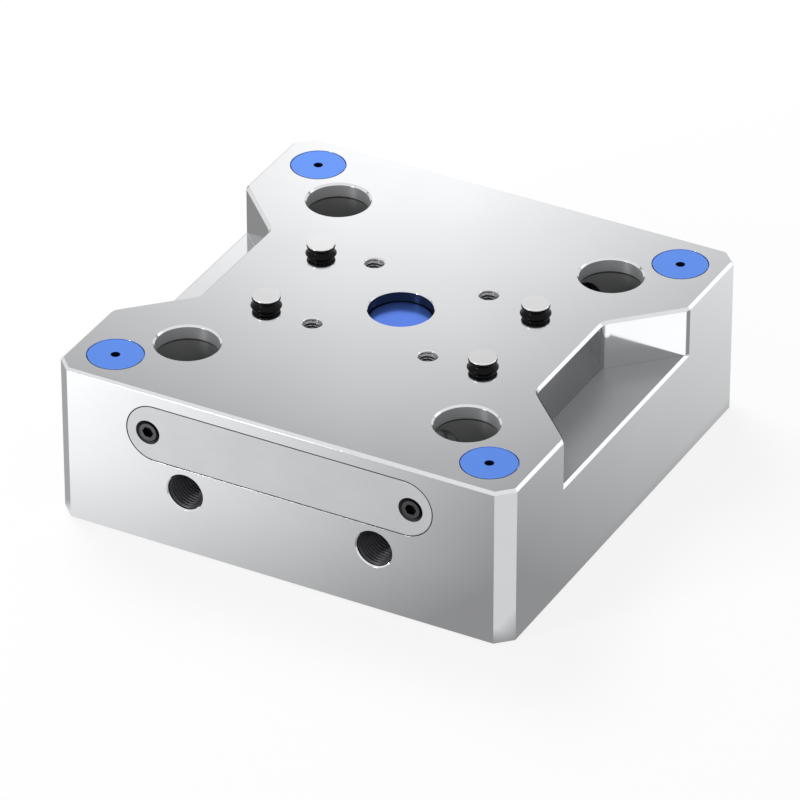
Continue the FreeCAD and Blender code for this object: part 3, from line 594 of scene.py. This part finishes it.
def thread_tree(around=64, turned_rows=110):
    """A tube with a thread on its inside. Its mouth is at the place and it runs down the -Z."""
    tree, given = tree_with("cut_thread", ["Radius", "Depth", "Pitch", "Length"])
    grid, share, row = sheet_of_rows(tree, around, turned_rows + 4)
    angle = add(tree, MATH, {0: share, 1: math.tau}, operation="MULTIPLY")

    # The rows go down the thread, then once to the bottom and once to the top outside
    down = add(tree, MATH, {0: row, 1: float(turned_rows)}, operation="DIVIDE")
    down = add(tree, MATH, {0: down, 1: 1.0}, operation="MINIMUM")
    still_low = add(tree, MATH, {0: row, 1: turned_rows + 1.5}, operation="LESS_THAN")
    down = add(tree, MATH, {0: down, 1: still_low}, operation="MULTIPLY")
    depth = add(tree, MATH, {0: down, 1: given["Length"]}, operation="MULTIPLY")
    past = add(tree, MATH, {0: row, 1: turned_rows + 0.5}, operation="GREATER_THAN")
    before = add(tree, MATH, {0: row, 1: turned_rows + 2.5}, operation="LESS_THAN")
    outside = all_of(tree, past, before)

    # The ridge is a clipped triangle wave, one in each pitch, that fades at the mouth
    turn = add(tree, MATH, {0: depth, 1: given["Pitch"]}, operation="DIVIDE")
    phase = add(tree, MATH, {0: turn, 1: share}, operation="ADD")
    wave = add(tree, MATH, {0: phase, 1: 0.5}, operation="PINGPONG")
    flat = 0.06
    ridge = add(tree, RANGE, {"Value": wave, "From Min": flat, "From Max": 0.5 - flat})
    fade = add(tree, MATH, {0: turn, 1: 1.5}, operation="MULTIPLY", use_clamp=True)
    ridge = add(tree, MATH, {0: ridge, 1: fade}, operation="MULTIPLY")
    ridge = add(tree, MATH, {0: ridge, 1: given["Depth"]}, operation="MULTIPLY")
    root_gap = 0.03 * mm
    outer_gap = 0.01 * mm
    root = add(tree, MATH, {0: given["Radius"], 1: root_gap}, operation="SUBTRACT")
    inner = add(tree, MATH, {0: root, 1: ridge}, operation="SUBTRACT")
    outer = add(tree, MATH, {0: given["Radius"], 1: outer_gap}, operation="SUBTRACT")
    radius = add(tree, "ShaderNodeMix", {0: outside, 2: inner, 3: outer})
    height = add(tree, MATH, {0: depth, 1: -1.0}, operation="MULTIPLY")
    tube = rolled_up(tree, grid, angle, radius, height)
    return end_tree(tree, given, tube)


def screw_tree(around=72):
    """A flat-headed socket screw. Its face is at the place and its shank runs down the -Z.

    A groove runs round the face, where the head's rim lies a little below it.
    """
    sizes = ["Head", "Shank", "Length", "Socket", "Face", "Groove", "Edge"]
    tree, given = tree_with("flat_head_socket_screw", sizes)
    grid, share, row = sheet_of_rows(tree, around, 11)
    angle = add(tree, MATH, {0: share, 1: -math.tau}, operation="MULTIPLY")

    # The hexagon's edge at this angle: half its width over the cosine within one sixth
    sixth = math.tau / 6
    part = add(tree, MATH, {0: angle, 1: sixth}, operation="FLOORED_MODULO")
    part = add(tree, MATH, {0: part, 1: sixth / 2}, operation="SUBTRACT")
    spread = add(tree, MATH, {0: part}, operation="COSINE")
    half = add(tree, MATH, {0: given["Socket"], 1: 0.5}, operation="MULTIPLY")
    hexagon = add(tree, MATH, {0: half, 1: spread}, operation="DIVIDE")
    hexagon_out = add(tree, MATH, {0: hexagon, 1: given["Edge"]}, operation="ADD")
    face = add(tree, MATH, {0: given["Face"], 1: given["Edge"]}, operation="SUBTRACT")
    rim = add(tree, MATH, {0: given["Head"], 1: given["Groove"]}, operation="SUBTRACT")

    socket_down = add(tree, MATH, {0: given["Head"], 1: -socket_depth_share}, operation="MULTIPLY")
    edge_down = add(tree, MATH, {0: given["Edge"], 1: -1.0}, operation="MULTIPLY")
    groove_down = add(tree, MATH, {0: given["Groove"], 1: -1.0}, operation="MULTIPLY")
    cone = add(tree, MATH, {0: given["Shank"], 1: given["Head"]}, operation="SUBTRACT")
    length_down = add(tree, MATH, {0: given["Length"], 1: -1.0}, operation="MULTIPLY")

    # From the middle of the socket's floor outwards over the head and down to the tip
    outline = [
        (0.0, socket_down),
        (hexagon, socket_down),
        (hexagon, edge_down),
        (hexagon_out, 0.0),
        (face, 0.0),
        (given["Face"], edge_down),
        (given["Face"], groove_down),
        (rim, groove_down),
        (given["Shank"], cone),
        (given["Shank"], length_down),
        (0.0, length_down),
    ]
    chosen = []
    for side in (0, 1):
        pick = add(tree, "GeometryNodeIndexSwitch", {"Index": row}, data_type="FLOAT")
        while len(pick.index_switch_items) < len(outline):
            pick.index_switch_items.new()
        for k, point in enumerate(outline):
            value = point[side]
            if isinstance(value, bpy.types.Node):
                value = value.outputs[0]
            if isinstance(value, bpy.types.NodeSocket):
                tree.links.new(value, pick.inputs[k + 1])
            else:
                pick.inputs[k + 1].default_value = value
        chosen.append(pick)
    body = rolled_up(tree, grid, angle, chosen[0], chosen[1])
    return end_tree(tree, given, body)


def spring_tree():
    """A round wire wound into a coil that stands on its place."""
    tree, given = tree_with("coil_spring", ["Coil Radius", "Wire Radius", "Height", "Turns"])
    coil = add(
        tree,
        "GeometryNodeCurveSpiral",
        {
            "Resolution": 40,
            "Rotations": given["Turns"],
            "Start Radius": given["Coil Radius"],
            "End Radius": given["Coil Radius"],
            "Height": given["Height"],
        },
    )
    wire = add(
        tree, "GeometryNodeCurvePrimitiveCircle", {"Resolution": 14, "Radius": given["Wire Radius"]}
    )
    mesh = add(
        tree, "GeometryNodeCurveToMesh", {"Curve": coil, "Profile Curve": wire, "Fill Caps": True}
    )
    return end_tree(tree, given, mesh)


def grown(name, tree, places, sizes, material):
    """What a tree grows on some places, as one plain mesh that rides on the plate."""
    points = bpy.data.meshes.new(name)
    points.from_pydata(places, [], [])
    piece = bpy.data.objects.new(name, points)
    scene.collection.objects.link(piece)
    modifier = piece.modifiers.new("grow", "NODES")
    modifier.node_group = tree
    wanted = dict(sizes, Material=material)
    for item in tree.interface.items_tree:
        if item.in_out == "INPUT" and item.name in wanted:
            modifier[item.identifier] = wanted[item.name]
    make_real(piece)
    piece.data.shade_smooth()
    piece.data.set_sharp_from_angle(angle=math.radians(35))
    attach(piece, "plate")
    return piece


def make_real(piece):
    """Makes a piece's modifiers into its mesh."""
    evaluated = piece.evaluated_get(bpy.context.evaluated_depsgraph_get())
    mesh = bpy.data.meshes.new_from_object(evaluated)
    piece.modifiers.clear()
    piece.data = mesh


def lathe(name, profile, x, y, material, around=64):
    """A closed ring turned round an upright axis from (radius, height) points, smoothed.

    The points run up its outside and down its inside, so that its faces point outwards.
    """
    vertices = []
    faces = []
    count = len(profile)
    for k in range(around):
        angle = math.tau * k / around
        for radius, height in profile:
            vertices.append((x + radius * math.cos(angle), y + radius * math.sin(angle), height))
        near = k * count
        far = (k + 1) % around * count
        for i in range(count):
            j = (i + 1) % count
            faces.append((near + i, far + i, far + j, near + j))
    mesh = bpy.data.meshes.new(name)
    mesh.from_pydata(vertices, [], faces)
    mesh.materials.append(material)
    mesh.shade_smooth()
    piece = bpy.data.objects.new(name, mesh)
    scene.collection.objects.link(piece)
    smooth = piece.modifiers.new("round", "SUBSURF")
    smooth.levels = 2
    make_real(piece)
    return piece


def thread_sizes(thread, turn=(0.0, 0.0, 0.0)):
    """A thread's sizes in metres; the ridge of a 60 degree thread is 0.61 of its pitch deep."""
    return {
        "Radius": thread["radius"] * mm,
        "Depth": 0.61 * thread["pitch"] * mm,
        "Pitch": thread["pitch"] * mm,
        "Length": thread["length"] * mm,
        "Turn": turn,
    }


def screw_sizes(screw, turn):
    """A screw's sizes in metres, as its tree takes them."""
    return {
        "Head": screw["head"] * mm,
        "Shank": screw["shank"] * mm,
        "Length": screw["length"] * mm,
        "Socket": screw["socket"] * mm,
        "Face": screw_face_share * screw["head"] * mm,
        "Groove": screw_groove * mm,
        "Edge": screw_edge * mm,
        "Turn": turn,
    }


def boot_profile():
    """The rubber sleeve's section, in metres: up its outside and down its inside.

    It has a bead and a fold in the bore, flares out at the plate's face, draws in to a
    waist and ends in a collar under the lifter's head.
    """
    outside = [
        (4.6, -6.05),
        (4.65, -5.5),
        (4.65, -4.6),
        (4.1, -3.8),
        (3.6, -3.0),
        (3.6, -2.2),
        (4.1, -1.2),
        (4.6, -0.5),
        (4.74, -0.1),
        (4.72, 0.15),
        (4.3, 0.6),
        (3.7, 1.1),
        (3.55, 1.5),
        (3.75, 1.95),
        (4.4, 2.3),
        (4.54, 2.6),
        (4.5, 2.9),
    ]
    wall = 0.8
    inside = [(radius - wall, height) for radius, height in reversed(outside)]
    return [(radius * mm, top + height * mm) for radius, height in outside + inside]


facing_front = (math.pi / 2, 0.0, 0.0)
facing_down = (math.pi, 0.0, 0.0)
threads = thread_tree()
screws = screw_tree()
springs = spring_tree()

# Threads of the small holes round the centre and of the ports
reach = centre_thread["offset"] * mm
mouth_z = top - centre_thread["mouth"] * mm
grown(
    "centre_hole_threads",
    threads,
    [(sx * reach, sy * reach, mouth_z) for sx, sy in corners.values()],
    thread_sizes(centre_thread),
    small_thread_steel,
)
reach = port_thread["offset"] * mm
mouth_y = front_face + port_thread["mouth"] * mm
port_z = top - port_below_top * mm
grown(
    "port_threads",
    threads,
    [(sx * reach, mouth_y, port_z) for sx in (-1, 1)],
    thread_sizes(port_thread, facing_front),
    port_thread_steel,
)

# Screws of the front cover, and the ring of screws in the bottom cover
reach = front_screw["offset"] * mm
screw_z = top - front_screw_below_top * mm
front_screws = grown(
    "front_cover_socket_screws",
    screws,
    [(sx * reach, front_face, screw_z) for sx in (-1, 1)],
    screw_sizes(front_screw, facing_front),
    front_screw_steel,
)
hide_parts("front_cover_screws")

circle = cover_screw["circle"] * mm
cover_low, cover_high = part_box("bottom_cover")
ring = []
for k in range(cover_screw_count):
    angle = math.tau * (k + 0.5) / cover_screw_count
    ring.append((circle * math.cos(angle), circle * math.sin(angle), cover_low.z))
bottom_screws = grown(
    "bottom_cover_socket_screws",
    screws,
    ring,
    screw_sizes(cover_screw, facing_down),
    black_oxide,
)
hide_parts("bottom_cover_screws")

# The lifters' rubber boots and springs
wire = 0.45 * mm
for corner in corners:
    low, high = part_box("lifter_boot_" + corner)
    centre = (low + high) / 2
    boot = lathe("rubber_boot_" + corner, boot_profile(), centre.x, centre.y, rubber)
    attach(boot, "plate")
    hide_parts("lifter_boot_" + corner)
    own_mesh(boot)

    low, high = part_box("lifter_spring_" + corner)
    centre = (low + high) / 2
    spring = grown(
        "return_spring_" + corner,
        springs,
        [(centre.x, centre.y, low.z + wire)],
        {
            "Coil Radius": (high.x - low.x) / 2 - wire,
            "Wire Radius": wire,
            "Height": high.z - low.z - 2 * wire,
            "Turns": 4.0,
        },
        spring_wire,
    )
    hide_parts("lifter_spring_" + corner)
    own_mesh(spring)


def on_table(tree, x, y, left, right, near, far, soft=0.004):
    """1 inside a rectangle of the table, in metres, and 0 outside, with soft edges."""
    mask = 1.0
    for value, low, high in ((x, left, right), (y, near, far)):
        rise = add(tree, RANGE, {"Value": value, "From Min": low - soft, "From Max": low + soft})
        fall = add(
            tree,
            RANGE,
            {
                "Value": value,
                "From Min": high - soft,
                "From Max": high + soft,
                "To Min": 1.0,
                "To Max": 0.0,
            },
        )
        mask = all_of(tree, rise, fall, mask)
    return mask


def held(tree, tone):
    """A tone kept between the darkest painted shade and the brightest painted light round the plate.
    """
    darkest = 0.34
    brightest = 1.4
    tone = add(tree, MATH, {0: tone, 1: brightest}, operation="MINIMUM")
    return add(tree, MATH, {0: tone, 1: darkest}, operation="MAXIMUM")


def table_top():
    """A white table. The metal mirrors painted shade and light on it, darkest before the plate's
    right end.
    """
    material, tree = bare_material("white_table")
    place = add(tree, "ShaderNodeTexCoord").outputs["Object"]
    apart = add(tree, "ShaderNodeSeparateXYZ", {0: place}).outputs
    x, y = apart[0], apart[1]
    side = plate_high.x - 0.001
    far = half_table

    # In front the painted tone falls off to the right, towards the plate's foot and far out on the
    # left
    tone = add(tree, MATH, {0: x, 1: -5.4, 2: 0.66}, operation="MULTIPLY_ADD")
    foot = add(
        tree,
        RANGE,
        {"Value": y, "From Min": -side - 0.03, "From Max": -side, "To Min": 1.0, "To Max": 0.87},
    )
    tone = add(tree, MATH, {0: tone, 1: foot}, operation="MULTIPLY")
    tone = held(tree, tone)
    beside = add(
        tree,
        RANGE,
        {"Value": x, "From Min": -0.165, "From Max": -0.13, "To Min": 0.6, "To Max": 1.0},
    )
    tone = add(tree, MATH, {0: tone, 1: beside}, operation="MULTIPLY")

    # On the right and behind it brightens towards the rear right
    right_tone = add(tree, MATH, {0: y, 1: 2.95, 2: 0.46}, operation="MULTIPLY_ADD")
    right_tone = held(tree, right_tone)
    rear_tone = add(tree, MATH, {0: x, 1: 1.6, 2: 0.55}, operation="MULTIPLY_ADD")
    front_right_tone = 0.8
    left_tone = 0.43
    areas = [
        ((side, far, -side, far), right_tone),
        ((side, far, -far, -side), front_right_tone),
        ((-far, -side, -side, far), left_tone),
        ((-side, side, side, far), rear_tone),
    ]
    for edges, area_tone in areas:
        mask = on_table(tree, x, y, *edges)
        tone = add(tree, "ShaderNodeMix", {0: mask, 2: tone, 3: area_tone})

    # Further out on the right a painted glow, which the rear wall of the right notch mirrors
    beyond = on_table(tree, x, y, 0.123, far, -far, far)
    glow = on_table(tree, x, y, 0.09, 0.175, -0.05, 0.042, soft=0.02)
    glow = all_of(tree, beyond, glow)
    glow_tone = 1.27
    tone = add(tree, "ShaderNodeMix", {0: glow, 2: tone, 3: glow_tone})

    seen = add(tree, "ShaderNodeLightPath").outputs
    white = add(tree, "ShaderNodeEmission", {"Color": (1, 1, 1, 1), "Strength": 1.0})
    mirrored = add(tree, "ShaderNodeEmission", {"Color": (1, 1, 1, 1), "Strength": tone})
    paint = add(tree, "ShaderNodeBsdfDiffuse", {"Color": linear("#E6E6E6")})
    lit = add(tree, "ShaderNodeMixShader", {0: seen["Is Glossy Ray"], 1: paint, 2: mirrored})
    white_share = 0.8
    share = add(tree, MATH, {0: seen["Is Camera Ray"], 1: white_share}, operation="MULTIPLY")
    surface = add(tree, "ShaderNodeMixShader", {0: share, 1: lit, 2: white})
    add(tree, "ShaderNodeOutputMaterial", {"Surface": surface})
    return material


def reflector_cloth():
    """A graded white reflector: brightest low down and in the middle."""
    material, tree = bare_material("graded_reflector")
    place = add(tree, "ShaderNodeTexCoord").outputs["Object"]
    height = add(tree, "ShaderNodeSeparateXYZ", {0: place}).outputs[2]
    upright = add(
        tree,
        RANGE,
        {"Value": height, "From Min": 0.27, "From Max": 0.41, "To Min": 1.26, "To Max": 0.5},
    )
    off = add(tree, VECTOR, {0: place, 1: aside}, operation="DOT_PRODUCT").outputs["Value"]
    off = add(tree, MATH, {0: off}, operation="ABSOLUTE")
    across = add(
        tree,
        RANGE,
        {"Value": off, "From Min": 0.02, "From Max": 0.12, "To Min": 1.0, "To Max": 0.72},
    )
    strength = add(tree, MATH, {0: upright, 1: across}, operation="MULTIPLY")
    glow = add(tree, "ShaderNodeEmission", {"Color": (1, 1, 1, 1), "Strength": strength})
    add(tree, "ShaderNodeOutputMaterial", {"Surface": glow})
    return material


def flat_sheet(name, points, material):
    """One flat face through the points, as part of the studio."""
    mesh = bpy.data.meshes.new(name)
    mesh.from_pydata(points, [], [tuple(range(len(points)))])
    mesh.materials.append(material)
    sheet = bpy.data.objects.new(name, mesh)
    scene.collection.objects.link(sheet)
    sheet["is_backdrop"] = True
    return sheet


def softbox(name, place, width, height, power, in_metal):
    """A soft lamp aimed at the part; in_metal says whether metal mirrors it."""
    lamp = bpy.data.lights.new(name, "AREA")
    lamp.shape = "RECTANGLE"
    lamp.size = width
    lamp.size_y = height
    lamp.energy = power
    box = bpy.data.objects.new(name, lamp)
    scene.collection.objects.link(box)
    box.location = place
    box.rotation_mode = "QUATERNION"
    box.rotation_quaternion = (-Vector(place)).to_track_quat("-Z", "Y")
    box.visible_glossy = in_metal


def soft_sky():
    """A white sky. Metal mirrors it a little dimmed, with a soft glow at the rear right."""
    world = bpy.data.worlds.new("soft_sky")
    world.use_nodes = True
    tree = world.node_tree
    tree.nodes.clear()
    place = add(tree, "ShaderNodeTexCoord").outputs["Generated"]

    # The broken top edges on the plate's right mirror this direction to the camera
    towards = Vector((0.538, 0.744, 0.396)).normalized()
    near = add(tree, VECTOR, {0: place, 1: towards}, operation="DOT_PRODUCT").outputs["Value"]
    glow = add(
        tree,
        RANGE,
        {"Value": near, "From Min": 0.93, "From Max": 0.98, "To Min": 0.95, "To Max": 1.35},
    )
    for_eye = add(tree, "ShaderNodeBackground", {"Color": (1, 1, 1, 1), "Strength": 1.0})
    for_metal = add(tree, "ShaderNodeBackground", {"Color": (1, 1, 1, 1), "Strength": glow})
    for_light = add(tree, "ShaderNodeBackground", {"Color": (1, 1, 1, 1), "Strength": 0.7})
    seen = add(tree, "ShaderNodeLightPath").outputs
    lit = add(tree, "ShaderNodeMixShader", {0: seen["Is Glossy Ray"], 1: for_light, 2: for_metal})
    shown = add(tree, "ShaderNodeMixShader", {0: seen["Is Camera Ray"], 1: lit, 2: for_eye})
    add(tree, "ShaderNodeOutputWorld", {"Surface": shown})
    return world


# Studio, in metres: a table, a reflector behind, soft light all round and two softboxes
half_table = 4.0
corner_points = [(-1, -1), (1, -1), (1, 1), (-1, 1)]
flat_sheet(
    "studio_table",
    [(sx * half_table, sy * half_table, 0) for sx, sy in corner_points],
    table_top(),
)

away = Vector((-0.470, 0.883, 0.0))
aside = Vector((0.883, 0.470, 0.0))
up = Vector((0.0, 0.0, 1.0))
card_half_width = 0.8
card_height = 0.9
foot = away * 0.45 + up * 0.02
left_foot = foot - aside * card_half_width
right_foot = foot + aside * card_half_width
rise = up * card_height
card = flat_sheet(
    "reflector",
    [left_foot, right_foot, right_foot + rise, left_foot + rise],
    reflector_cloth(),
)
card.visible_camera = False
card.visible_diffuse = False
card.visible_shadow = False

softbox("key_softbox", (-0.7, 0.5, 1.1), 0.7, 0.7, 12.0, False)
softbox("strip_softbox", (-0.39, -0.74, 0.34), 0.14, 0.3, 1.6, True)

scene.world = soft_sky()

# Camera at the photograph's angle
azimuth = math.radians(28.17)
elevation = math.radians(32.55)
camera_distance = 2.1308
looked_at = Vector((0.00688, -0.01340, 0.03039))
back = Vector(
    (
        math.sin(azimuth) * math.cos(elevation),
        -math.cos(azimuth) * math.cos(elevation),
        math.sin(elevation),
    )
)
lens = bpy.data.cameras.new("photo_view")
lens.sensor_width = 36.0
lens.lens = 312.6
lens.clip_end = 20.0
camera = bpy.data.objects.new("photo_view", lens)
scene.collection.objects.link(camera)
camera.location = looked_at + back * camera_distance
camera.rotation_mode = "QUATERNION"
camera.rotation_quaternion = (-back).to_track_quat("-Z", "Y")
scene.camera = camera
scene.view_settings.view_transform = "Standard"

low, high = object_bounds()
